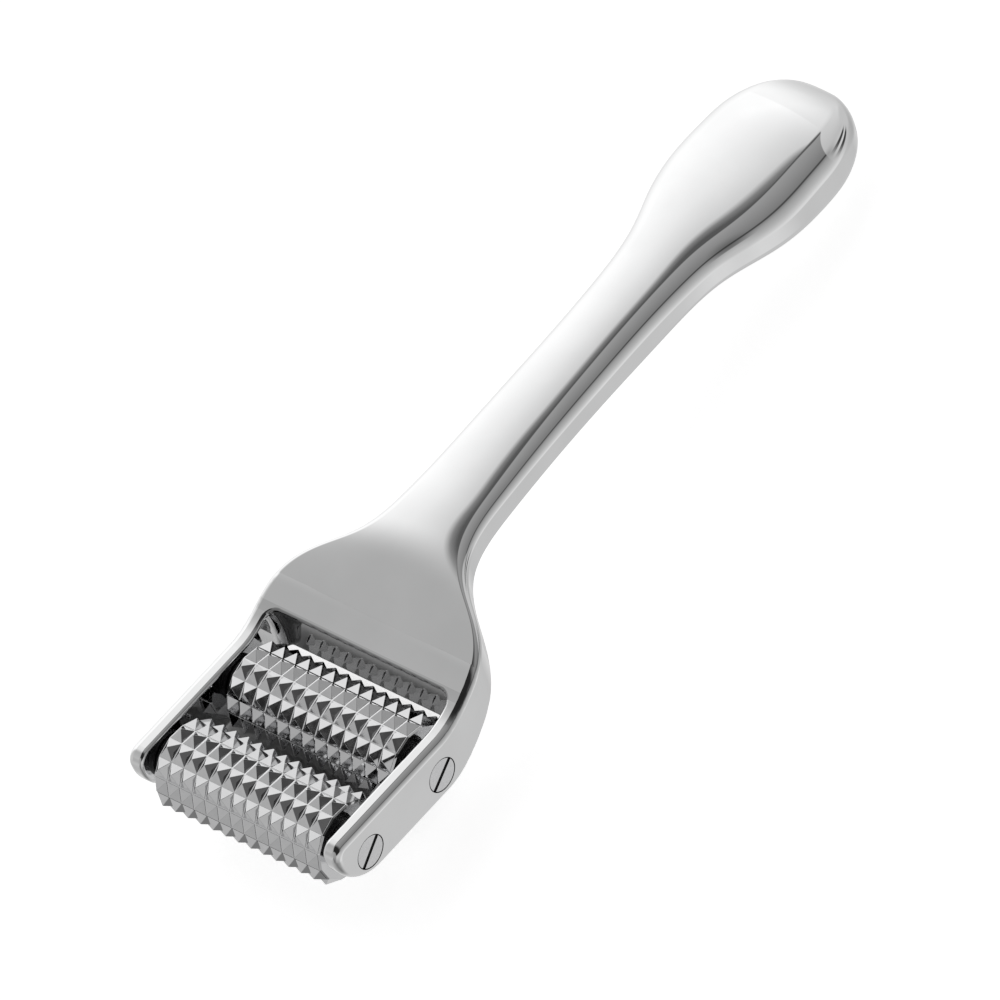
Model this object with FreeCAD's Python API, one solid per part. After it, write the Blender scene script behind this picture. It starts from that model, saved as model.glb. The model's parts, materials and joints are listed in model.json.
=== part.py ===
"""Twin-roller face massager: a plated one-piece handle with a fork that carries two studded rollers.

Design axes: X runs across the head, along the axles. Y runs from the front axle towards the grip
end. Z points away from the worked side. Y = 0, Z = 0 is the centre line of the front axle.
At the end everything is tipped into the pose in which the tool lies on a table, on its rear
roller and the underside of the grip end, with the origin under the middle of its box.
"""
import FreeCAD
import Part

import math
import os

Vector = FreeCAD.Vector

# ---- Driving dimensions, mm ----
AXLE_SPACING = 17.0

# Fork
HEAD_WIDTH = 42.0
PRONG_THICKNESS = 3.0
PRONG_TOP = 6.0
PRONG_BOTTOM = -4.3
PRONG_TIP_Y = -6.5
NOSE_TOP_RADIUS = 2.4
FORK_ROOT_Y = 18.0
FORK_EDGE_RADIUS = 1.2
RIM_RADIUS = 0.6

# Window between the prongs
WINDOW_REAR_Y = 25.2
WINDOW_WALL_HOLLOW = 1.0
WINDOW_HOLLOW_TOP = 9.0
WINDOW_HOLLOW_BOTTOM = -3.0
WINDOW_CORNER_RADIUS = 2.0

# Neck and grip where the outline changes:
# (y, half width, top, bottom, top edge radius, bottom edge radius, crown angle of the top face in degrees)
HANDLE_STATIONS = [
    (FORK_ROOT_Y, HEAD_WIDTH / 2, PRONG_TOP, PRONG_BOTTOM, FORK_EDGE_RADIUS, FORK_EDGE_RADIUS, 0.0),
    (20.0, 21.0, 6.15, -4.0, 1.2, 1.2, 0.0),
    (23.0, 20.98, 7.05, -2.8, 1.2, 1.2, 0.0),
    (27.0, 20.85, 9.1, -0.3, 1.25, 1.2, 0.0),
    (31.0, 20.0, 11.2, 2.4, 1.35, 1.2, 0.5),
    (34.0, 18.1, 12.6, 4.6, 1.5, 1.15, 1.2),
    (37.0, 14.8, 14.2, 7.3, 1.7, 1.1, 2.2),
    (40.0, 11.3, 15.7, 9.6, 1.85, 1.1, 3.2),
    (43.0, 9.2, 16.8, 11.0, 1.9, 1.1, 4.0),
    (47.0, 7.95, 17.7, 11.8, 1.9, 1.1, 4.6),
    (54.0, 7.25, 18.35, 12.4, 2.0, 1.1, 5.0),
    (66.0, 6.9, 19.3, 13.15, 2.35, 1.15, 5.0),
    (80.0, 6.76, 20.1, 13.6, 2.65, 1.2, 5.0),
    (92.0, 6.9, 20.75, 13.9, 2.8, 1.2, 5.0),
    (100.0, 7.45, 21.25, 14.3, 2.95, 1.45, 5.0),
    (105.0, 8.35, 21.75, 14.45, 3.05, 1.6, 5.0),
    (110.0, 10.1, 22.25, 14.35, 3.35, 1.8, 5.0),
    (115.0, 11.55, 22.55, 13.8, 3.85, 2.0, 5.0),
    (121.0, 12.1, 22.75, 13.1, 4.1, 2.2, 5.0),
]

# Rounded grip end: superellipses in plan and in side view, closing in on the tip
GRIP_END_START_Y = 126.0
GRIP_END_LENGTH = 14.9
GRIP_HALF_WIDTH = 11.95
GRIP_HALF_DEPTH = 5.0
GRIP_AXIS_Z = 17.8
GRIP_PLAN_POWER = 2.3
GRIP_SIDE_POWER = 2.8
GRIP_END_DROP = 0.9
GRIP_TOP_RADIUS = 4.1
GRIP_BOTTOM_RADIUS = 2.2
GRIP_CROWN = 5.0
GRIP_END_ROUNDNESS = 0.94
GRIP_END_ANGLES = [0.0, 12.0, 24.0, 36.0, 47.0, 57.0, 66.0, 74.0, 80.0, 84.0]

# Rollers
ROLLER_TIP_RADIUS = 7.5
ROLLER_VALLEY_RADIUS = 6.5
ROLLER_FACETS = 13
STUDS_PER_ROW = 13
STUD_PITCH = 2.54
ROLLER_BORE_RADIUS = 2.4
FRONT_ROLLER_PHASE = -5.0
REAR_ROLLER_PHASE = 16.6

# Bushes pressed into the roller ends
BUSH_OUTER_RADIUS = 3.0
BUSH_LENGTH = 6.0
BUSH_FLANGE_RADIUS = 3.7
BUSH_FLANGE_THICKNESS = 0.5
BUSH_RUNNING_CLEARANCE = 0.05

# Thrust washers against the prongs
WASHER_OUTER_RADIUS = 3.5
WASHER_THICKNESS = 0.7

# Two-part axles with slotted heads let into the prongs
AXLE_RADIUS = 1.75
AXLE_FIT = 0.05
AXLE_HEAD_RADIUS = 2.72
AXLE_HEAD_THICKNESS = 1.2
AXLE_HEAD_RECESS = 0.05
HEAD_RING_GAP = 0.14
SCREW_RADIUS = 1.25
SCREW_THREAD_FIT = 0.04
SCREW_LENGTH = 11.0
SCREW_HOLE_DEPTH = 12.5
SLOT_WIDTH = 0.7
SLOT_DEPTH = 0.6
SLOT_ANGLES = {"front_axle_screw": 38.0, "rear_axle_screw": 34.0,
               "front_axle_barrel": 17.0, "rear_axle_barrel": 62.0}

# Resting pose: the stretch of the grip that can touch the table, and how near is near enough
GRIP_REST_START_Y = 100.0
GRIP_REST_LENGTH = 60.0
GRIP_REST_ARM = 110.0
REST_TOLERANCE = 1e-4
REST_ROUNDS = 20

# How far cutting tools reach past the metal, and the slack used when picking edges
CUT_ABOVE = 12.0
CUT_PAST = 6.0
EDGE_SLACK = 1e-3
EDGE_STEP = 1.0

# ---- Values worked out from them ----
HALF_HEAD = HEAD_WIDTH / 2
WINDOW_HALF = HALF_HEAD - PRONG_THICKNESS
ROLLER_HALF = STUDS_PER_ROW * STUD_PITCH / 2
AXLES = {"front": 0.0, "rear": AXLE_SPACING}
ACROSS = Vector(1, 0, 0)


def rod(radius, start_x, end_x, axle_y):
    """Cylinder along an axle line between two X positions."""
    return Part.makeCylinder(radius, end_x - start_x, Vector(start_x, axle_y, 0), ACROSS)


def tube(outer, inner, start_x, end_x, axle_y):
    """Hollow cylinder along an axle line."""
    return rod(outer, start_x, end_x, axle_y).cut(rod(inner, start_x, end_x, axle_y))


# ---- Handle ----

def corner_arc(centre_x, centre_z, radius, y, from_degrees, to_degrees):
    """Arc in the plane at y; 0 degrees points up and 90 to the right."""
    points = []
    for degrees in (from_degrees, (from_degrees + to_degrees) / 2, to_degrees):
        angle = math.radians(degrees)
        points.append(Vector(centre_x + radius * math.sin(angle), y, centre_z + radius * math.cos(angle)))
    return Part.Arc(*points).toShape()


def section(y, half_width, top, bottom, top_radius, bottom_radius, crown):
    """Closed section in the plane at y: a slightly crowned top, flat sides and bottom, rounded edges."""
    upper_x = half_width - top_radius
    lower_x = half_width - bottom_radius
    sag = upper_x * math.tan(math.radians(crown) / 2)
    upper_z = top - top_radius - sag
    lower_z = bottom + bottom_radius
    right_top = corner_arc(upper_x, upper_z, top_radius, y, crown, 90)
    right_bottom = corner_arc(lower_x, lower_z, bottom_radius, y, 90, 180)
    left_bottom = corner_arc(-lower_x, lower_z, bottom_radius, y, 180, 270)
    left_top = corner_arc(-upper_x, upper_z, top_radius, y, 270, 360 - crown)
    corners = [right_top, right_bottom, left_bottom, left_top]
    edges = []
    for corner, following in zip(corners, corners[1:]):
        edges.append(corner)
        edges.append(Part.makeLine(corner.lastVertex().Point, following.firstVertex().Point))
    edges.append(left_top)
    left_end = left_top.lastVertex().Point
    right_end = right_top.firstVertex().Point
    if crown > 0:
        edges.append(Part.Arc(left_end, Vector(0, y, top), right_end).toShape())
    else:
        edges.append(Part.makeLine(left_end, right_end))
    return Part.Wire(edges)


def superellipse(share, power):
    """Height of a unit superellipse at a share of its length."""
    return (1.0 - share ** power) ** (1.0 / power)


def grip_end_section(angle_degrees):
    """Section of the rounded grip end; the angles close in on the tip."""
    share = math.sin(math.radians(angle_degrees))
    half_width = GRIP_HALF_WIDTH * superellipse(share, GRIP_PLAN_POWER)
    half_depth = GRIP_HALF_DEPTH * superellipse(share, GRIP_SIDE_POWER)
    room = min(half_depth, half_width)
    radii = []
    for radius in (GRIP_TOP_RADIUS, GRIP_BOTTOM_RADIUS):
        side_share = radius / GRIP_HALF_DEPTH
        radii.append(room * (side_share + (GRIP_END_ROUNDNESS - side_share) * share ** 2))
    y = GRIP_END_START_Y + GRIP_END_LENGTH * share
    axis_z = GRIP_AXIS_Z - GRIP_END_DROP * share ** 2
    return section(y, half_width, axis_z + half_depth, axis_z - half_depth, *radii, GRIP_CROWN)


def handle_body():
    """Neck and grip lofted from the fork root to the tip of the grip."""
    wires = [section(*station) for station in HANDLE_STATIONS]
    wires += [grip_end_section(angle) for angle in GRIP_END_ANGLES]
    return Part.makeLoft(wires, True)


def side_point(y, z):
    """Point in the plane of the left prong's outer face."""
    return Vector(-HALF_HEAD, y, z)


def quarter_arc(centre_y, centre_z, radius, start_degrees):
    """Quarter circle in the left outer face, anticlockwise as seen from the right."""
    points = []
    for degrees in (start_degrees, start_degrees + 45, start_degrees + 90):
        angle = math.radians(degrees)
        points.append(side_point(centre_y + radius * math.cos(angle), centre_z + radius * math.sin(angle)))
    return Part.Arc(*points).toShape()


def fork_block():
    """Solid block of the fork: a small round nose above, a long sweep below, rounded outer edges."""
    nose_z = PRONG_TOP - NOSE_TOP_RADIUS
    sweep_radius = nose_z - PRONG_BOTTOM
    top_y = PRONG_TIP_Y + NOSE_TOP_RADIUS
    bottom_y = PRONG_TIP_Y + sweep_radius
    outline = Part.Wire([
        Part.makeLine(side_point(FORK_ROOT_Y, PRONG_TOP), side_point(top_y, PRONG_TOP)),
        quarter_arc(top_y, nose_z, NOSE_TOP_RADIUS, 90),
        quarter_arc(bottom_y, nose_z, sweep_radius, 180),
        Part.makeLine(side_point(bottom_y, PRONG_BOTTOM), side_point(FORK_ROOT_Y, PRONG_BOTTOM)),
        Part.makeLine(side_point(FORK_ROOT_Y, PRONG_BOTTOM), side_point(FORK_ROOT_Y, PRONG_TOP)),
    ])
    block = Part.Face(outline).extrude(Vector(HEAD_WIDTH, 0, 0))
    return block.makeFillet(FORK_EDGE_RADIUS, [edge for edge in block.Edges if is_outer_rim(edge)])


def is_outer_rim(edge):
    """True for an edge that lies in a prong's outer face, the root's own edges apart."""
    box = edge.BoundBox
    in_side_face = box.XLength < EDGE_SLACK and abs(abs(box.XMin) - HALF_HEAD) < EDGE_SLACK
    return in_side_face and box.YMin < FORK_ROOT_Y - EDGE_STEP


def window_cutter():
    """Space between the prongs, with a hollow rear wall and rounded rear corners."""
    above = PRONG_TOP + CUT_ABOVE
    below = PRONG_BOTTOM - CUT_PAST
    front = PRONG_TIP_Y - CUT_PAST
    middle = (WINDOW_HOLLOW_TOP + WINDOW_HOLLOW_BOTTOM) / 2
    wall_top = Vector(-WINDOW_HALF, WINDOW_REAR_Y, above)
    rim_high = Vector(-WINDOW_HALF, WINDOW_REAR_Y, WINDOW_HOLLOW_TOP)
    deepest = Vector(-WINDOW_HALF, WINDOW_REAR_Y + WINDOW_WALL_HOLLOW, middle)
    rim_low = Vector(-WINDOW_HALF, WINDOW_REAR_Y, WINDOW_HOLLOW_BOTTOM)
    corners = [rim_low, Vector(-WINDOW_HALF, WINDOW_REAR_Y, below), Vector(-WINDOW_HALF, front, below),
               Vector(-WINDOW_HALF, front, above), wall_top, rim_high]
    straight = [Part.makeLine(a, b) for a, b in zip(corners, corners[1:])]
    outline = Part.Wire([Part.Arc(rim_high, deepest, rim_low).toShape()] + straight)
    space = Part.Face(outline).extrude(Vector(2 * WINDOW_HALF, 0, 0))
    rear = [edge for edge in space.Edges
            if edge.BoundBox.XLength < EDGE_SLACK and edge.BoundBox.YMin > WINDOW_REAR_Y - EDGE_SLACK]
    return space.makeFillet(WINDOW_CORNER_RADIUS, rear)


def axle_seats(axle_y):
    """Through bores for an axle and the counterbores for its two heads."""
    seat_radius = AXLE_HEAD_RADIUS + HEAD_RING_GAP
    seat_depth = AXLE_HEAD_THICKNESS + AXLE_HEAD_RECESS
    bore = rod(AXLE_RADIUS + AXLE_FIT, -HALF_HEAD - 1, HALF_HEAD + 1, axle_y)
    right = rod(seat_radius, HALF_HEAD - seat_depth, HALF_HEAD + 1, axle_y)
    left = rod(seat_radius, -HALF_HEAD - 1, -HALF_HEAD + seat_depth, axle_y)
    return bore.fuse([right, left])


def handle_frame():
    """One-piece cast handle: fork, sloping head, neck and grip."""
    body = fork_block().fuse(handle_body())
    body = body.cut(window_cutter()).Solids[0]
    body = body.makeFillet(RIM_RADIUS, [edge for edge in body.Edges if is_window_rim(edge)])
    for axle_y in AXLES.values():
        body = body.cut(axle_seats(axle_y))
    return body.Solids[0]


def is_window_rim(edge):
    """True for an edge where the window's walls meet the outside, their own corners apart."""
    box = edge.BoundBox
    between_prongs = max(abs(box.XMin), abs(box.XMax)) < WINDOW_HALF + EDGE_SLACK
    before_wall = box.YMax < WINDOW_REAR_Y + WINDOW_WALL_HOLLOW + EDGE_STEP
    corner_start = WINDOW_REAR_Y - WINDOW_CORNER_RADIUS - EDGE_STEP
    tall = box.ZLength > PRONG_TOP - PRONG_BOTTOM - EDGE_STEP
    wall_corner = box.XLength < EDGE_SLACK and box.YMin > corner_start and tall
    return between_prongs and before_wall and not wall_corner


# ---- Rollers ----

def stud_ring_point(radius, x, angle, axle_y):
    """Point on a roller at an angle measured from the top towards the front."""
    return Vector(x, axle_y - radius * math.sin(angle), radius * math.cos(angle))


def triangle(a, b, c):
    return Part.Face(Part.makePolygon([a, b, c, a]))


def stud(axle_y, left_x, start_angle, step_angle):
    """Four sloping faces of one pyramid stud."""
    corners = [
        stud_ring_point(ROLLER_VALLEY_RADIUS, left_x, start_angle, axle_y),
        stud_ring_point(ROLLER_VALLEY_RADIUS, left_x + STUD_PITCH, start_angle, axle_y),
        stud_ring_point(ROLLER_VALLEY_RADIUS, left_x + STUD_PITCH, start_angle + step_angle, axle_y),
        stud_ring_point(ROLLER_VALLEY_RADIUS, left_x, start_angle + step_angle, axle_y),
    ]
    tip = stud_ring_point(ROLLER_TIP_RADIUS, left_x + STUD_PITCH / 2, start_angle + step_angle / 2, axle_y)
    return [triangle(corners[i], corners[(i + 1) % 4], tip) for i in range(4)]


def roller_end(axle_y, x, phase, step_angle):
    """Flat end of a roller: a polygon with one side per row of studs."""
    ring = [stud_ring_point(ROLLER_VALLEY_RADIUS, x, phase + i * step_angle, axle_y)
            for i in range(ROLLER_FACETS)]
    return Part.Face(Part.makePolygon(ring + [ring[0]]))


def roller(axle_y, phase_degrees):
    """Studded roller with a through bore and a seat for a bush in each end."""
    step_angle = 2 * math.pi / ROLLER_FACETS
    phase = math.radians(phase_degrees) - step_angle / 2
    faces = [roller_end(axle_y, x, phase, step_angle) for x in (-ROLLER_HALF, ROLLER_HALF)]
    for row in range(ROLLER_FACETS):
        for column in range(STUDS_PER_ROW):
            left_x = -ROLLER_HALF + column * STUD_PITCH
            faces += stud(axle_y, left_x, phase + row * step_angle, step_angle)
    shell = Part.makeShell(faces)
    shell.sewShape()
    solid = Part.makeSolid(shell)
    bore = rod(ROLLER_BORE_RADIUS, -ROLLER_HALF - 1, ROLLER_HALF + 1, axle_y)
    seats = [rod(BUSH_OUTER_RADIUS, -ROLLER_HALF - 1, -ROLLER_HALF + BUSH_LENGTH, axle_y),
             rod(BUSH_OUTER_RADIUS, ROLLER_HALF - BUSH_LENGTH, ROLLER_HALF + 1, axle_y)]
    return solid.cut(bore.fuse(seats))


def bush(axle_y, side):
    """Flanged plain bush in one end of a roller; side is 1 on the right and -1 on the left."""
    inner = AXLE_RADIUS + BUSH_RUNNING_CLEARANCE
    sleeve = tube(BUSH_OUTER_RADIUS, inner, ROLLER_HALF - BUSH_LENGTH, ROLLER_HALF, axle_y)
    flange = tube(BUSH_FLANGE_RADIUS, inner, ROLLER_HALF, ROLLER_HALF + BUSH_FLANGE_THICKNESS, axle_y)
    return mirrored(sleeve.fuse(flange).removeSplitter(), side)


def washer(axle_y, side):
    """Thrust washer lying against a prong's inner face."""
    disc = tube(WASHER_OUTER_RADIUS, AXLE_RADIUS + AXLE_FIT,
                WINDOW_HALF - WASHER_THICKNESS, WINDOW_HALF, axle_y)
    return mirrored(disc, side)


def mirrored(shape, side):
    """The shape itself on the right side, its mirror image on the left."""
    if side > 0:
        return shape
    return shape.mirror(Vector(0, 0, 0), ACROSS)


# ---- Axles ----

def slot_cutter(face_x, axle_y, angle_degrees):
    """Screwdriver slot across a head whose outer face lies at face_x."""
    length = 4 * AXLE_HEAD_RADIUS
    slot = Part.makeBox(2 * SLOT_DEPTH, length, SLOT_WIDTH,
                        Vector(face_x - SLOT_DEPTH, axle_y - length / 2, -SLOT_WIDTH / 2))
    slot.rotate(Vector(face_x, axle_y, 0), ACROSS, angle_degrees)
    return slot


def axle_barrel(axle_y, slot_angle):
    """Female half of an axle: slotted head on the left, shank through both prongs."""
    head_face = -HALF_HEAD + AXLE_HEAD_RECESS
    shank_start = head_face + AXLE_HEAD_THICKNESS
    shank_end = HALF_HEAD - AXLE_HEAD_RECESS - AXLE_HEAD_THICKNESS
    head = rod(AXLE_HEAD_RADIUS, head_face, shank_start, axle_y)
    shank = rod(AXLE_RADIUS, shank_start, shank_end, axle_y)
    threaded_hole = rod(SCREW_RADIUS + SCREW_THREAD_FIT, shank_end - SCREW_HOLE_DEPTH, shank_end, axle_y)
    return head.fuse(shank).cut(threaded_hole).cut(slot_cutter(head_face, axle_y, slot_angle))


def axle_screw(axle_y, slot_angle):
    """Male half of an axle: slotted head on the right, threaded into the barrel."""
    head_face = HALF_HEAD - AXLE_HEAD_RECESS
    shoulder = head_face - AXLE_HEAD_THICKNESS
    head = rod(AXLE_HEAD_RADIUS, shoulder, head_face, axle_y)
    shank = rod(SCREW_RADIUS, shoulder - SCREW_LENGTH, shoulder, axle_y)
    return head.fuse(shank).cut(slot_cutter(head_face, axle_y, slot_angle))


# ---- Assembly ----

def all_parts():
    """Every node in the design axes, by name."""
    parts = {"handle_frame": handle_frame()}
    parts["front_roller"] = roller(AXLES["front"], FRONT_ROLLER_PHASE)
    parts["rear_roller"] = roller(AXLES["rear"], REAR_ROLLER_PHASE)
    for place, axle_y in AXLES.items():
        for side_name, side in (("left", -1), ("right", 1)):
            parts[f"{place}_{side_name}_bush"] = bush(axle_y, side)
            parts[f"{place}_{side_name}_washer"] = washer(axle_y, side)
        parts[f"{place}_axle_barrel"] = axle_barrel(axle_y, SLOT_ANGLES[f"{place}_axle_barrel"])
        parts[f"{place}_axle_screw"] = axle_screw(axle_y, SLOT_ANGLES[f"{place}_axle_screw"])
    return parts


def rest_tilt(handle):
    """Angle of the line that touches the rear roller and the grip from below, in degrees."""
    tilt = 0.0
    half = GRIP_REST_LENGTH / 2
    zone = Part.makeBox(2 * half, GRIP_REST_LENGTH, 2 * GRIP_REST_LENGTH,
                        Vector(-half, GRIP_REST_START_Y, -GRIP_REST_LENGTH))
    for _ in range(REST_ROUNDS):
        trial = handle.copy()
        trial.rotate(Vector(0, AXLE_SPACING, 0), ACROSS, -tilt)
        drop = trial.common(zone).BoundBox.ZMin + ROLLER_TIP_RADIUS
        if abs(drop) < REST_TOLERANCE:
            break
        tilt += math.degrees(math.atan2(drop, GRIP_REST_ARM))
    return tilt


def place_on_table(parts):
    """Tips the parts into the resting pose, with the origin under the middle of their box."""
    tilt = rest_tilt(parts["handle_frame"])
    for shape in parts.values():
        shape.rotate(Vector(0, 0, 0), ACROSS, -tilt)
    box = Part.makeCompound(list(parts.values())).optimalBoundingBox(False, False)
    move = Vector(-box.Center.x, -box.Center.y, -box.ZMin)
    for shape in parts.values():
        shape.translate(move)
    print(f"tilt {tilt:.4f} deg, box {box.XLength:.3f} x {box.YLength:.3f} x {box.ZLength:.3f} mm")
    for place, axle_y in AXLES.items():
        centre = FreeCAD.Rotation(ACROSS, -tilt).multVec(Vector(0, axle_y, 0)) + move
        print(f"{place} axle at {centre.x:.4f}, {centre.y:.4f}, {centre.z:.4f}")


def main():
    parts = all_parts()
    place_on_table(parts)
    os.makedirs("parts", exist_ok=True)
    for name, shape in parts.items():
        shape.exportStep(f"parts/{name}.step")
        print(f"{name}: {len(shape.Solids)} solid, valid {shape.isValid()}, {shape.Volume:.1f} mm3")


main()
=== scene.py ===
"""Looks for the twin-roller face massager: finishes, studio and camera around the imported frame."""

import bisect
import json
import math

import bpy
from mathutils import Matrix, Vector


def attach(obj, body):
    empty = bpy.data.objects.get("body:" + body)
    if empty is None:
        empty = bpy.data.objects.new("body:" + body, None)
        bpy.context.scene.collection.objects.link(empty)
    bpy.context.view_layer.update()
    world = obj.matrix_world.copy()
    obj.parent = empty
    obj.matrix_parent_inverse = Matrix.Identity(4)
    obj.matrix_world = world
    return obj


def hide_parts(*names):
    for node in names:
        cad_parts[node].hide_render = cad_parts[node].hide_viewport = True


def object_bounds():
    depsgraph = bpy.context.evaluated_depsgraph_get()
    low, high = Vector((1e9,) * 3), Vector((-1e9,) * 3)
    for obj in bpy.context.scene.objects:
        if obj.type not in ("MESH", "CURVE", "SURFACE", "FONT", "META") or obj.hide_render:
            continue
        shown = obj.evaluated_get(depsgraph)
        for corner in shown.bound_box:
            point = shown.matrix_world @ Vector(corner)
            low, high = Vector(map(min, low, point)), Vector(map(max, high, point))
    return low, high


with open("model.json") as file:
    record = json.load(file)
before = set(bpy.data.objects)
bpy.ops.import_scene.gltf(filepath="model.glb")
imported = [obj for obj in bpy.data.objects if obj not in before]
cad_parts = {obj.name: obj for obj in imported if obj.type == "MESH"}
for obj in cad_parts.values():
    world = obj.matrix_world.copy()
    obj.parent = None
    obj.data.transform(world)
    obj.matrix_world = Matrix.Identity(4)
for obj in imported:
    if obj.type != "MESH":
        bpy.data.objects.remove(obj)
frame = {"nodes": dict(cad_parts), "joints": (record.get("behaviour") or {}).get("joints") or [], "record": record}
CAD_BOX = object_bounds()

MM = 0.001               # a millimetre, in the scene's metres
METRE = 1000             # a metre, in millimetres

# ---- The tool's own axes, read from the frame ----
AXLES = {joint["name"].split("_")[0]: Vector(joint["pos_m"]) for joint in frame["joints"]}
ALONG = (AXLES["rear"] - AXLES["front"]).normalized()   # from the front axle towards the grip
ACROSS = Vector((1, 0, 0))
ABOVE = ACROSS.cross(ALONG)                             # away from the worked side
TILT = math.atan2(-ALONG.z, ALONG.y)                    # how far the tool leans on the table


def ramp(value, start, reach):
    """Rises from 0 at start to 1 a reach further on."""
    return min(max((value - start) / reach, 0), 1)


# ---- Small node helpers ----

def new_material(name):
    """Material with a bare node tree: the material, its shader and its tree."""
    material = bpy.data.materials.new(name)
    material.use_nodes = True
    return material, material.node_tree.nodes["Principled BSDF"], material.node_tree


def node(tree, kind, **settings):
    """Adds a node and applies its settings."""
    made = tree.nodes.new(kind)
    for key, value in settings.items():
        setattr(made, key, value)
    return made


def plug(tree, source, socket):
    """Links an output or sets a constant on a socket."""
    if isinstance(source, bpy.types.NodeSocket):
        tree.links.new(source, socket)
    else:
        socket.default_value = source


def maths(tree, operation, first, second=0.0, clamp=False):
    """Adds a maths node and returns its output."""
    made = node(tree, "ShaderNodeMath", operation=operation, use_clamp=clamp)
    plug(tree, first, made.inputs[0])
    plug(tree, second, made.inputs[1])
    return made.outputs[0]


def spread(tree, value, low, high, to_low=0.0, to_high=1.0, curve="SMOOTHSTEP"):
    """Maps a value from one range to another, held at both ends."""
    made = node(tree, "ShaderNodeMapRange", interpolation_type=curve)
    for socket, number in zip(made.inputs[:5], (value, low, high, to_low, to_high)):
        plug(tree, number, socket)
    return made.outputs[0]


def noise(tree, scale, detail):
    """Noise in object space, in cells of 1 / scale metres."""
    place = node(tree, "ShaderNodeTexCoord")
    made = node(tree, "ShaderNodeTexNoise")
    tree.links.new(place.outputs["Object"], made.inputs["Vector"])
    made.inputs["Scale"].default_value = scale
    made.inputs["Detail"].default_value = detail
    return made.outputs["Fac"]


def tinted(tree, level, tint):
    """Grey level with a slight tint, as a colour."""
    made = node(tree, "ShaderNodeCombineColor")
    for channel, share in zip(made.inputs, tint):
        tree.links.new(maths(tree, "MULTIPLY", level, share), channel)
    return made.outputs["Color"]


def two_tones(tree, value, dark, light):
    """Colour that runs from a dark tone to a light one over a value from 0 to 1."""
    made = node(tree, "ShaderNodeValToRGB")
    made.color_ramp.elements[0].color = (*dark, 1)
    made.color_ramp.elements[1].color = (*light, 1)
    tree.links.new(value, made.inputs["Fac"])
    return made.outputs["Color"]


def grey(value):
    return (value, value, value, 1.0)


# ---- Finishes ----

# Window's rear wall and the seats of screws and barrels, which get painted shade, in mm from the front axle
WALL_ALONG = (24.6, 26.6)
WALL_ABOVE = (-5.0, 8.6)
WALL_SHADE = 0.66
SEAT_REACH = 2.88
DARKEST = 0.02           # brightness left where the shade is full


def tool_place(tree):
    """A shaded point's place from the front axle, in mm across, along and above the tool."""
    geometry = node(tree, "ShaderNodeTexCoord")
    from_axle = node(tree, "ShaderNodeVectorMath", operation="SUBTRACT")
    tree.links.new(geometry.outputs["Object"], from_axle.inputs[0])
    from_axle.inputs[1].default_value = AXLES["front"]
    shares = []
    for direction in (ACROSS, ALONG, ABOVE):
        made = node(tree, "ShaderNodeVectorMath", operation="DOT_PRODUCT")
        tree.links.new(from_axle.outputs[0], made.inputs[0])
        made.inputs[1].default_value = METRE * direction
        shares.append(made.outputs["Value"])
    return shares


def inside(tree, value, limits):
    """1 where a value lies between two limits, and 0 elsewhere."""
    over = maths(tree, "GREATER_THAN", value, limits[0])
    return maths(tree, "MULTIPLY", over, maths(tree, "LESS_THAN", value, limits[1]))


def facing(tree, direction):
    """How far the surface faces a direction, from -1 to 1."""
    geometry = node(tree, "ShaderNodeNewGeometry")
    made = node(tree, "ShaderNodeVectorMath", operation="DOT_PRODUCT")
    tree.links.new(geometry.outputs["Normal"], made.inputs[0])
    made.inputs[1].default_value = direction
    return made.outputs["Value"]


def wall_shade(tree, along, above):
    """Shade on the window's rear wall, which faces the rollers."""
    wall = maths(tree, "MULTIPLY", inside(tree, along, WALL_ALONG), inside(tree, above, WALL_ABOVE))
    wall = maths(tree, "MULTIPLY", wall, spread(tree, facing(tree, -ALONG), 0.35, 0.75))
    return maths(tree, "MULTIPLY", wall, WALL_SHADE)


def seat_shade(tree, along, above):
    """Shade in the seats and bores round both axles."""
    seats = 0.0
    for axle in AXLES.values():
        offset = METRE * (axle - AXLES["front"]).length
        beside = maths(tree, "POWER", maths(tree, "SUBTRACT", along, offset), 2.0)
        reach = maths(tree, "SQRT", maths(tree, "ADD", beside, maths(tree, "POWER", above, 2.0)))
        seats = maths(tree, "ADD", seats, maths(tree, "LESS_THAN", reach, SEAT_REACH))
    return seats


def mirror_plating():
    """Bright nickel-chrome plating with faint haze, and painted shade on the window's rear wall and in the seats.
    """
    material, shader, tree = new_material("mirror_plating")
    haze = noise(tree, 90.0, 3.0)
    _, along, above = tool_place(tree)
    wall, seats = wall_shade(tree, along, above), seat_shade(tree, along, above)
    shade = maths(tree, "MAXIMUM", wall, seats, clamp=True)
    bright = spread(tree, haze, 0.3, 0.7, 0.865, 0.90)
    level = maths(tree, "MULTIPLY", bright, spread(tree, shade, 0.0, 1.0, 1.0, DARKEST, curve="LINEAR"))
    tree.links.new(tinted(tree, level, (0.996, 0.998, 1.0)), shader.inputs["Base Color"])
    tree.links.new(spread(tree, haze, 0.3, 0.8, 0.02, 0.05), shader.inputs["Roughness"])
    shader.inputs["Metallic"].default_value = 1.0
    return material


def polished_studs():
    """Polished cast studs: a little duller than the handle, with a fine grain."""
    material, shader, tree = new_material("polished_studs")
    grain = noise(tree, 900.0, 3.0)
    colour = two_tones(tree, grain, (0.74, 0.742, 0.75), (0.84, 0.84, 0.845))
    tree.links.new(colour, shader.inputs["Base Color"])
    tree.links.new(spread(tree, grain, 0.3, 0.7, 0.035, 0.09), shader.inputs["Roughness"])
    shader.inputs["Metallic"].default_value = 1.0
    return material


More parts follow.
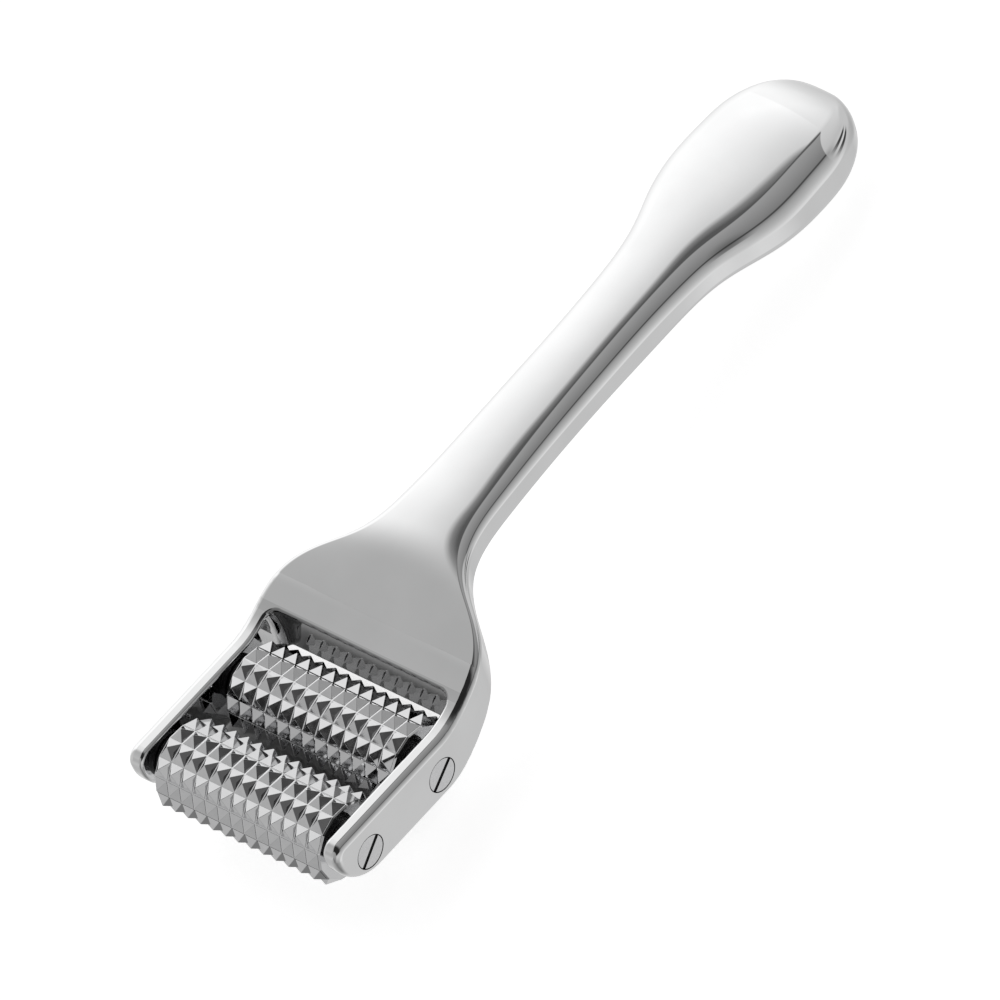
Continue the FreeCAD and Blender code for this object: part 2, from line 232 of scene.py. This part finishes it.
def turned_steel():
    """Turned heads: bright faces, with painted shade darkening the walls in the slots and round the rims."""
    material, shader, tree = new_material("turned_steel")
    grain = noise(tree, 2500.0, 2.0)
    # Painted shade: colour darkened where the surface turns away from the head's face, on slot walls and rims
    faces = spread(tree, maths(tree, "ABSOLUTE", facing(tree, ACROSS)), 0.4, 0.8, 0.22, 1.0)
    level = maths(tree, "MULTIPLY", spread(tree, grain, 0.3, 0.7, 0.77, 0.82), faces)
    tree.links.new(tinted(tree, level, (0.99, 0.99, 1.0)), shader.inputs["Base Color"])
    tree.links.new(spread(tree, grain, 0.3, 0.7, 0.17, 0.21), shader.inputs["Roughness"])
    shader.inputs["Metallic"].default_value = 1.0
    return material


def black_plastic(name):
    """Matt black plastic with a fine grain."""
    material, shader, tree = new_material(name)
    grain = noise(tree, 3000.0, 2.0)
    colour = two_tones(tree, grain, (0.008, 0.008, 0.009), (0.02, 0.02, 0.022))
    tree.links.new(colour, shader.inputs["Base Color"])
    tree.links.new(spread(tree, grain, 0.3, 0.7, 0.45, 0.6), shader.inputs["Roughness"])
    return material


FINISHES = {
    "plated_cast_body": mirror_plating(),
    "polished_roller": polished_studs(),
    "axle_steel": turned_steel(),
    "bush_acetal": black_plastic("turned_acetal"),
    "washer_plastic": black_plastic("moulded_washer"),
}


def finish_cad_nodes():
    """Gives each CAD node the finish of its material slot."""
    for part in frame["record"]["subparts"]:
        piece = frame["nodes"][part["node"]]
        piece.data.materials.clear()
        piece.data.materials.append(FINISHES[part["material_slot"]])


# ---- Handle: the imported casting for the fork, and a finely drawn neck and grip over it ----

# Distance from the front axle, half width, top, bottom, top edge radius, bottom edge radius, all in mm,
# and the crown of the top face in degrees
STATIONS = [
    (18, 21, 6, -4.3, 1.2, 1.2, 0),
    (20, 21, 6.15, -4, 1.2, 1.2, 0),
    (23, 20.98, 7.05, -2.8, 1.2, 1.2, 0),
    (27, 20.85, 9.1, -0.3, 1.25, 1.2, 0),
    (31, 20, 11.17, 2.4, 1.35, 1.2, 0.5),
    (34, 18.1, 12.72, 4.6, 1.5, 1.15, 1.2),
    (37, 14.8, 14.27, 7.3, 1.7, 1.1, 2.2),
    (40, 11.3, 15.7, 9.6, 1.85, 1.1, 3.2),
    (43, 9.2, 16.8, 11, 1.9, 1.1, 4),
    (47, 7.95, 17.7, 11.8, 1.9, 1.1, 4.6),
    (54, 7.25, 18.35, 12.4, 2, 1.1, 5),
    (66, 6.9, 19.3, 13.15, 2.35, 1.15, 5),
    (80, 6.76, 20.1, 13.6, 2.65, 1.2, 5),
    (92, 6.9, 20.75, 13.9, 2.8, 1.2, 5),
    (100, 7.45, 21.25, 14.3, 2.95, 1.45, 5),
    (105, 8.35, 21.75, 14.45, 3.05, 1.6, 5),
    (110, 10.1, 22.25, 14.35, 3.35, 1.8, 5),
    (115, 11.55, 22.55, 13.8, 3.85, 2, 5),
    (121, 12.1, 22.75, 13.1, 4.1, 2.2, 5),
]
VALUES = 7               # values in a station
PLACE_VALUES = 4         # those of them that tell how far apart two stations lie

# Rounded end of the grip, mm
GRIP_END_START = 126.0
GRIP_END_LENGTH = 14.81
GRIP_HALF_WIDTH = 11.95
GRIP_HALF_DEPTH = 5.0
GRIP_AXIS = 17.8         # height of the section's middle where the end starts
GRIP_DROP = 0.9          # how far that middle has sunk at the tip
GRIP_CROWN = 5
GRIP_WIDTH_POWER = 2.3   # of the rounding seen from above
GRIP_DEPTH_POWER = 2.8   # of the rounding seen from the side
GRIP_EDGE_SHARES = (0.82, 0.44)   # top and bottom edge radius over the smaller half size at the start
TIP_EDGE_SHARE = 0.94    # the same at the tip, for both
GRIP_END_ANGLES = (0, 12, 24, 36, 47, 57, 66, 74, 80, 84, 87, 89, 90)

# Fine mesh, mm
FINE_START = 28.0        # where the drawn neck comes out of the casting
FINE_STEP = 0.45
FAIRING_PASSES = 24
FAIRING_STRENGTH = 0.25
FAIRED = (30.0, 137.0)   # stretch that is faired
FAIRING_REACH = 4.0      # over which the fairing sets in and fades
CROWN_STEPS, EDGE_STEPS, SIDE_STEPS, LOWER_EDGE_STEPS, UNDER_STEPS = 16, 30, 6, 18, 8

# How far the casting and the drawn neck lie under each other beyond the join, mm
SINK = 0.12
SINK_REACH = 2.5
CASTING_SINK_START = FINE_START + 1.0
GRIP_SINK = 0.4          # how much further the casting lies under the drawn grip
GRIP_SINK_START = 60.0
GRIP_SINK_REACH = 20.0


def grip_end_station(degrees):
    """Section values of the rounded grip end, closing in on the tip at 90 degrees."""
    share = math.sin(math.radians(degrees))
    width = GRIP_HALF_WIDTH * (1 - share ** GRIP_WIDTH_POWER) ** (1 / GRIP_WIDTH_POWER)
    depth = GRIP_HALF_DEPTH * (1 - share ** GRIP_DEPTH_POWER) ** (1 / GRIP_DEPTH_POWER)
    radii = [min(depth, width) * (part + (TIP_EDGE_SHARE - part) * share ** 2) for part in GRIP_EDGE_SHARES]
    axis = GRIP_AXIS - GRIP_DROP * share ** 2
    return (GRIP_END_START + GRIP_END_LENGTH * share, width, axis + depth, axis - depth, *radii, GRIP_CROWN)


def spline(knots, values):
    """Natural cubic spline through values at knots, as a function."""
    count = len(knots)
    gaps = [knots[i + 1] - knots[i] for i in range(count - 1)]
    slopes = [(values[i + 1] - values[i]) / gaps[i] for i in range(count - 1)]
    above, right = [0.0], [0.0]
    for i in range(1, count - 1):
        pivot = 2 * (gaps[i - 1] + gaps[i]) - gaps[i - 1] * above[-1]
        right.append((6 * (slopes[i] - slopes[i - 1]) - gaps[i - 1] * right[-1]) / pivot)
        above.append(gaps[i] / pivot)
    bend = [0.0] * count
    for i in range(count - 2, 0, -1):
        bend[i] = right[i] - above[i] * bend[i + 1]

    def at(place):
        i = min(max(bisect.bisect_right(knots, place) - 1, 0), count - 2)
        before, after, gap = knots[i + 1] - place, place - knots[i], gaps[i]
        return (bend[i] * before ** 3 + bend[i + 1] * after ** 3) / (6 * gap) \
            + (values[i] / gap - bend[i] * gap / 6) * before \
            + (values[i + 1] / gap - bend[i + 1] * gap / 6) * after
    return at


def fine_stations():
    """Closely spaced section values along the handle, faired a little."""
    rows = STATIONS + [grip_end_station(degrees) for degrees in GRIP_END_ANGLES]
    knots = [0.0]
    for before, after in zip(rows, rows[1:]):
        knots.append(knots[-1] + math.dist(before[:PLACE_VALUES], after[:PLACE_VALUES]))
    curves = [spline(knots, [row[i] for row in rows]) for i in range(VALUES)]
    steps = int(knots[-1] / FINE_STEP)
    fine = [[curve(knots[-1] * k / steps) for curve in curves] for k in range(steps + 1)]
    for _ in range(FAIRING_PASSES):
        faired = [fine[0]]
        for before, row, after in zip(fine, fine[1:], fine[2:]):
            ease = FAIRING_STRENGTH * ramp(row[0], FAIRED[0], FAIRING_REACH)
            ease *= ramp(FAIRED[1] - row[0], 0, FAIRING_REACH)
            faired.append([row[i] + ease * (before[i] - 2 * row[i] + after[i]) for i in range(VALUES)])
        fine = faired + [fine[-1]]
    return [row for row in fine if row[0] > FINE_START]


def section_points(row):
    """Points round one section, clockwise from the middle of the top.

    Each is (across, above, direction of the surface from straight up in degrees).
    """
    _, half, top, bottom, top_radius, bottom_radius, crown = row
    upper, lower = half - top_radius, half - bottom_radius
    sag = upper * math.tan(math.radians(crown) / 2)
    side_top, side_bottom = top - sag - top_radius, bottom + bottom_radius
    points = []
    for k in range(CROWN_STEPS + 1):
        share = k / CROWN_STEPS
        points.append((upper * share, top - sag * share ** 2, crown * share))
    for k in range(1, EDGE_STEPS + 1):
        turn = crown + (90 - crown) * k / EDGE_STEPS
        angle = math.radians(turn)
        drop = top_radius * (1 - math.cos(angle))
        points.append((upper + top_radius * math.sin(angle), top - sag - drop, turn))
    for k in range(1, SIDE_STEPS + 1):
        points.append((half, side_top + (side_bottom - side_top) * k / SIDE_STEPS, 90.0))
    for k in range(1, LOWER_EDGE_STEPS + 1):
        turn = 90 + 90 * k / LOWER_EDGE_STEPS
        angle = math.radians(turn)
        drop = -bottom_radius * math.cos(angle)
        points.append((lower + bottom_radius * math.sin(angle), side_bottom - drop, turn))
    for k in range(1, UNDER_STEPS):
        points.append((lower * (1 - k / UNDER_STEPS), bottom, 180.0))
    left = [(-across, above, -turn) for across, above, turn in reversed(points[1:])]
    return points + [(0.0, bottom, 180.0)] + left


def outward(before, after, turn):
    """Surface direction between two rings, for a section direction in degrees."""
    angle = math.radians(turn)
    onward = Vector([after[axis] - before[axis] for axis in range(3)])
    return Vector((math.cos(angle), 0, -math.sin(angle))).cross(onward).normalized()


def fine_neck_and_grip():
    """Mesh of the neck and grip with a true surface direction at every point."""
    rings = [[(across, row[0], above, turn) for across, above, turn in section_points(row)]
             for row in fine_stations()]
    size = len(rings[0])
    points, normals, faces = [], [], []
    for k, ring in enumerate(rings):
        before, after = rings[max(k - 1, 0)], rings[min(k + 1, len(rings) - 1)]
        sink = SINK * (1 - ramp(ring[0][1], FINE_START, SINK_REACH))
        for i, (*place, turn) in enumerate(ring):
            out = outward(before[i], after[i], turn)
            place = Vector(place) - sink * out
            points.append(AXLES["front"] + MM * (place.x * ACROSS + place.y * ALONG + place.z * ABOVE))
            normals.append((out.x * ACROSS + out.y * ALONG + out.z * ABOVE).normalized())
    for k in range(len(rings) - 1):
        for i in range(size):
            a, b = k * size + i, k * size + (i + 1) % size
            faces.append((a, b, b + size, a + size))
    mesh = bpy.data.meshes.new("neck_and_grip")
    mesh.from_pydata([tuple(point) for point in points], [], faces)
    mesh.polygons.foreach_set("use_smooth", [True] * len(faces))
    mesh.normals_split_custom_set_from_vertices([tuple(normal) for normal in normals])
    return mesh


def casting_copy(plain):
    """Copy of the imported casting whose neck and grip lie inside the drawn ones."""
    mesh = plain.data.copy()
    moved = []
    for vertex in mesh.vertices:
        along = METRE * (plain.matrix_world @ vertex.co - AXLES["front"]).dot(ALONG)
        sink = SINK * ramp(along, CASTING_SINK_START, SINK_REACH)
        sink += GRIP_SINK * ramp(along, GRIP_SINK_START, GRIP_SINK_REACH)
        moved.extend(vertex.co - MM * sink * vertex.normal)
    mesh.vertices.foreach_set("co", moved)
    return mesh


def add_handle():
    """Puts the sunk casting and the drawn neck and grip in place of the plain handle."""
    plain = frame["nodes"]["handle_frame"]
    casting = bpy.data.objects.new("handle_casting", casting_copy(plain))
    grip = bpy.data.objects.new("handle_neck_and_grip", fine_neck_and_grip())
    casting.matrix_world = plain.matrix_world
    for made in (casting, grip):
        bpy.context.scene.collection.objects.link(made)
        made.data.materials.clear()
        made.data.materials.append(FINISHES["plated_cast_body"])
        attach(made, "handle")
    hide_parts(plain.name)


# ---- Rollers with crisp studs, narrow valleys and chamfered rims, in metres ----

STUD_ROWS = 13
STUDS_PER_ROW = 13
TIP_RADIUS = 0.00749
VALLEY_RADIUS = 0.0065
LANDS = 0.00010          # half width of the valley between studs
ARRIS = 0.00004          # half width of the blunted edges
CAP = 0.00008            # half width of the blunted tip
CAP_CORNER = 0.45 * CAP  # how much of the tip's corners is cut off
BED_DEPTH = 0.00003      # how far the valleys' floor lies under the studs' feet
RIM = 0.00022            # chamfer at each end
SEAT_RADIUS = 0.0030
PHASES = {"front": -5.0, "rear": 16.6}   # degrees


def polar(axle, x, angle, radius):
    """Point on a roller; the angle runs from above towards the front."""
    return axle + x * ACROSS - radius * math.sin(angle) * ALONG + radius * math.cos(angle) * ABOVE


def add_ring(points, faces, loops):
    """Adds closed loops of points and joins each to the next with quads."""
    size = len(loops[0])
    start = len(points)
    for loop in loops:
        points.extend(loop)
    for level in range(len(loops) - 1):
        for i in range(size):
            a = start + level * size + i
            b = start + level * size + (i + 1) % size
            faces.append((a, b, b + size, a + size))


def stud_loops(axle, centre_x, half_x, centre_angle, half_angle):
    """Two loops of one stud, of eight points each: its foot and its blunted tip."""
    loops = []
    for radius, reach_x, reach_angle, cut in ((VALLEY_RADIUS, half_x, half_angle, ARRIS),
                                              (TIP_RADIUS, CAP, CAP / TIP_RADIUS, CAP_CORNER)):
        turn = cut / radius
        loop = []
        for side_x, side_angle in ((-1, -1), (1, -1), (1, 1), (-1, 1)):
            beside = (centre_x + side_x * (reach_x - cut), centre_angle + side_angle * reach_angle)
            before = (centre_x + side_x * reach_x, centre_angle + side_angle * (reach_angle - turn))
            pair = (before, beside) if side_x == side_angle else (beside, before)
            loop.extend(polar(axle, x, angle, radius) for x, angle in pair)
        loops.append(loop)
    return loops


def roller_mesh(axle, phase_degrees, half_length):
    """Studs, the valleys between them, rims, end faces and bore, as one mesh."""
    points, faces = [], []
    step = 2 * math.pi / STUD_ROWS
    body_half = half_length - RIM
    pitch = 2 * body_half / STUDS_PER_ROW
    first = math.radians(phase_degrees) - step / 2
    land_angle = LANDS / VALLEY_RADIUS
    for row in range(STUD_ROWS):
        angle = first + (row + 0.5) * step
        for column in range(STUDS_PER_ROW):
            x = -body_half + (column + 0.5) * pitch
            foot, tip = stud_loops(axle, x, pitch / 2 - LANDS, angle, step / 2 - land_angle)
            add_ring(points, faces, [foot, tip])
            faces.append(tuple(range(len(points) - len(tip), len(points))))
    bed = VALLEY_RADIUS - BED_DEPTH
    ends = []
    for x, radius in ((-half_length, SEAT_RADIUS), (-half_length, bed - RIM), (-body_half, bed),
                      (body_half, bed), (half_length, bed - RIM), (half_length, SEAT_RADIUS)):
        ends.append([polar(axle, x, first + row * step + side * land_angle, radius)
                     for row in range(STUD_ROWS) for side in (-1, 1)])
    add_ring(points, faces, ends)
    bore = [[polar(axle, x, first + k * step / 2, SEAT_RADIUS) for k in range(2 * STUD_ROWS)]
            for x in (-half_length, half_length)]
    add_ring(points, faces, bore)
    mesh = bpy.data.meshes.new("roller")
    mesh.from_pydata([tuple(point) for point in points], [], faces)
    mesh.validate()
    return mesh


def add_rollers():
    """Puts a detailed roller in place of each plain one."""
    for place, axle in AXLES.items():
        plain = frame["nodes"][place + "_roller"]
        spans = [(plain.matrix_world @ Vector(corner)).x for corner in plain.bound_box]
        mesh = roller_mesh(axle, PHASES[place], (max(spans) - min(spans)) / 2)
        made = bpy.data.objects.new(place + "_roller_studs", mesh)
        bpy.context.scene.collection.objects.link(made)
        mesh.materials.append(FINISHES["polished_roller"])
        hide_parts(plain.name)
        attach(made, place + "_roller_set")


# ---- Studio ----

# Each list gives the tone round the tool's long axis: degrees, 0 straight above and 90 on its right,
# seen towards the grip end, and a brightness. First for light from steeply forward, past the rollers
FRONT_TONES = [
    (-180, 0.30), (-130, 0.58), (-90, 0.45), (-60, 0.42), (-30, 0.42), (20, 0.34), (80, 0.34),
    (134, 0.28), (165, 0.16), (179, 0.26),
]
# from a little forward
FORWARD_TONES = [
    (-180, 0.30), (-150, 0.46), (-125, 0.55), (-90, 0.60), (-62, 0.54), (-40, 0.47), (-29, 0.42),
    (-22, 0.02), (76, 0.02), (80, 0.50), (100, 0.62), (134, 0.42), (165, 0.20), (179, 0.26),
]
# from the grip's side: white screens on the left, a grey panel overhead, a dark gap, screens on the right
GRIP_SIDE_TONES = [
    (-180, 0.62), (-150, 0.62), (-142, 0.74), (-110, 0.90), (-80, 1.08), (-60, 1.14), (-46, 1.12),
    (-37, 0.92), (-28.5, 0.66), (-28, 0.10), (-25, 0.10), (-24, 0.345), (10, 0.29), (51, 0.215),
    (53, 0.07), (58, 0.07), (61, 0.25), (72, 0.36), (98, 0.50), (118, 0.65), (128, 0.76), (136, 0.76),
    (141, 0.59), (179, 0.60),
]
# from past the end of the grey panel
BEYOND_TONES = [
    (-180, 0.62), (-142, 0.74), (-110, 0.90), (-80, 1.08), (-60, 1.10), (-46, 1.02), (-37, 0.86),
    (-28, 0.68), (40, 0.56), (60, 0.36), (72, 0.42), (98, 0.52), (118, 0.65), (128, 0.76), (136, 0.76),
    (141, 0.59), (179, 0.60),
]
# from far past the grip end, with two dark strips
FAR_TONES = [
    (-180, 0.45), (-140, 0.55), (-60, 0.74), (-20, 0.70), (45, 0.56), (66, 0.62), (70, 0.05), (82, 0.05),
    (86, 0.70), (96, 0.70), (99, 0.05), (112, 0.05), (118, 0.60), (150, 0.50), (179, 0.45),
]
# and from straight past the grip end, where all the angles meet
END_TONES = [(-180, 0.60), (179, 0.60)]
# Where each list takes over from the one before, as the share of the direction along the tool
TONE_CHANGES = (
    (FORWARD_TONES, -0.84, -0.74),
    (GRIP_SIDE_TONES, -0.34, 0.04),
    (BEYOND_TONES, 0.60, 0.612),
    (FAR_TONES, 0.62, 0.86),
    (END_TONES, 0.93, 0.985),
)

FLOOR_HALF = 4.0
FLOOR_GLOW = 0.78

# Shade under the head, mm from the front axle
SHADE_ACROSS = (-28.0, 16.0)
SHADE_ALONG = (-2.0, 36.0)
SHADE_CELLS = 24         # along each side of its mesh
SHADE_LIFT = 0.04
SHADE_SIDES = ((-28.0, -20.0), (16.0, 8.0))   # from no shade to the full one, on the left and right
SHADE_ENDS = ((0.0, 5.0), (34.0, 16.0))       # the same at the front and back

# Camera in the tool's axes: shares across, along and above. The up direction is squared to the right one
PICTURE_RIGHT = (0.747, 0.623, -0.229)
PICTURE_UP = (-0.356, 0.668, 0.653)
AIM = (0.03487, 0.04467, -0.028)         # from the front axle in the picture's axes, metres
LENS = 1400.0
SENSOR = 36.0
FIELD = 0.14925                          # metres that the picture spans at the aim


def degrees_ramp(tree, angle, stops):
    """Tone over an angle in degrees, from -180 to 180."""
    made = node(tree, "ShaderNodeValToRGB")
    elements = made.color_ramp.elements
    while len(elements) > 1:
        elements.remove(elements[-1])
    elements[0].position = (stops[0][0] + 180) / 360
    elements[0].color = grey(stops[0][1])
    for degrees, tone in stops[1:]:
        elements.new((degrees + 180) / 360).color = grey(tone)
    tree.links.new(angle, made.inputs["Fac"])
    return made.outputs["Color"]


def studio_light():
    """Soft light from every side of the tool; straight to the camera the surroundings are white."""
    world = bpy.data.worlds.new("studio")
    bpy.context.scene.world = world
    world.use_nodes = True
    tree = world.node_tree
    tree.nodes.clear()
    place = node(tree, "ShaderNodeTexCoord")
    turn = node(tree, "ShaderNodeVectorRotate", rotation_type="X_AXIS")
    tree.links.new(place.outputs["Generated"], turn.inputs["Vector"])
    turn.inputs["Angle"].default_value = TILT
    split = node(tree, "ShaderNodeSeparateXYZ")
    tree.links.new(turn.outputs["Vector"], split.inputs[0])
    side, length, height = split.outputs
    around = maths(tree, "ARCTAN2", side, height)
    share = maths(tree, "ADD", maths(tree, "DIVIDE", around, 2 * math.pi), 0.5)
    tone = degrees_ramp(tree, share, FRONT_TONES)
    for tones, start, end in TONE_CHANGES:
        mix = node(tree, "ShaderNodeMix", data_type="RGBA")
        tree.links.new(spread(tree, length, start, end), mix.inputs["Factor"])
        tree.links.new(tone, mix.inputs["A"])
        tree.links.new(degrees_ramp(tree, share, tones), mix.inputs["B"])
        tone = mix.outputs["Result"]
    light = node(tree, "ShaderNodeBackground")
    tree.links.new(tone, light.inputs["Color"])
    plain = node(tree, "ShaderNodeBackground")
    plain.inputs["Color"].default_value = grey(1.0)
    choice = node(tree, "ShaderNodeMixShader")
    path = node(tree, "ShaderNodeLightPath")
    tree.links.new(path.outputs["Is Camera Ray"], choice.inputs[0])
    tree.links.new(light.outputs[0], choice.inputs[1])
    tree.links.new(plain.outputs[0], choice.inputs[2])
    output = node(tree, "ShaderNodeOutputWorld")
    tree.links.new(choice.outputs[0], output.inputs["Surface"])


def matt_material(name, brightness):
    """Matt grey material for the floor and its shade."""
    material, shader, tree = new_material(name)
    shader.inputs["Base Color"].default_value = grey(brightness)
    shader.inputs["Roughness"].default_value = 0.9
    shader.inputs["Specular IOR Level"].default_value = 0.1
    return material, shader, tree


def pale_floor():
    """Plain pale floor just under the tool, bright enough to read as white."""
    mesh = bpy.data.meshes.new("floor")
    corners = [(x * FLOOR_HALF, y * FLOOR_HALF, 0) for x, y in ((-1, -1), (1, -1), (1, 1), (-1, 1))]
    mesh.from_pydata(corners, [], [(0, 1, 2, 3)])
    floor = bpy.data.objects.new("floor", mesh)
    bpy.context.scene.collection.objects.link(floor)
    floor.location.z = CAD_BOX[0].z
    floor.visible_glossy = False
    material, shader, _ = matt_material("pale_floor", 0.85)
    shader.inputs["Emission Color"].default_value = grey(1.0)
    shader.inputs["Emission Strength"].default_value = FLOOR_GLOW
    mesh.materials.append(material)


def fork_shade():
    """Soft dark shade on the floor under the rollers, seen through the gap between them."""
    points, faces = [], []
    for j in range(SHADE_CELLS + 1):
        for i in range(SHADE_CELLS + 1):
            across, along = [low + share / SHADE_CELLS * (high - low)
                             for share, (low, high) in ((i, SHADE_ACROSS), (j, SHADE_ALONG))]
            place = AXLES["front"] + MM * (across * ACROSS + along * ALONG)
            points.append((place.x, place.y, CAD_BOX[0].z + MM * SHADE_LIFT))
    for j in range(SHADE_CELLS):
        for i in range(SHADE_CELLS):
            a = j * (SHADE_CELLS + 1) + i
            faces.append((a, a + 1, a + SHADE_CELLS + 2, a + SHADE_CELLS + 1))
    mesh = bpy.data.meshes.new("fork_shade")
    mesh.from_pydata(points, [], faces)
    shade = bpy.data.objects.new("fork_shade", mesh)
    bpy.context.scene.collection.objects.link(shade)
    material, shader, tree = matt_material("floor_shade", 0.30)
    across, along, _ = tool_place(tree)
    sides, ends = [maths(tree, "MULTIPLY", *(spread(tree, value, *edge) for edge in edges))
                   for value, edges in ((across, SHADE_SIDES), (along, SHADE_ENDS))]
    tree.links.new(maths(tree, "MULTIPLY", sides, ends), shader.inputs["Alpha"])
    mesh.materials.append(material)


def camera():
    """Long lens over the right front of the tool, turned so that the grip points to the upper right."""
    right, steep = [shares[0] * ACROSS + shares[1] * ALONG + shares[2] * ABOVE
                    for shares in (PICTURE_RIGHT, PICTURE_UP)]
    right.normalize()
    back = right.cross(steep).normalized()
    up = back.cross(right)
    aim = AXLES["front"] + AIM[0] * right + AIM[1] * up + AIM[2] * back
    data = bpy.data.cameras.new("camera")
    data.lens = LENS
    data.sensor_width = SENSOR
    data.clip_start = 0.5
    data.clip_end = 20.0
    distance = FIELD * LENS / SENSOR
    made = bpy.data.objects.new("camera", data)
    made.matrix_world = Matrix.Translation(aim + distance * back) \
        @ Matrix((right, up, back)).transposed().to_4x4()
    bpy.context.scene.collection.objects.link(made)
    bpy.context.scene.camera = made


finish_cad_nodes()
add_handle()
add_rollers()
studio_light()
pale_floor()
fork_shade()
camera()
bpy.context.scene.view_settings.view_transform = "Standard"
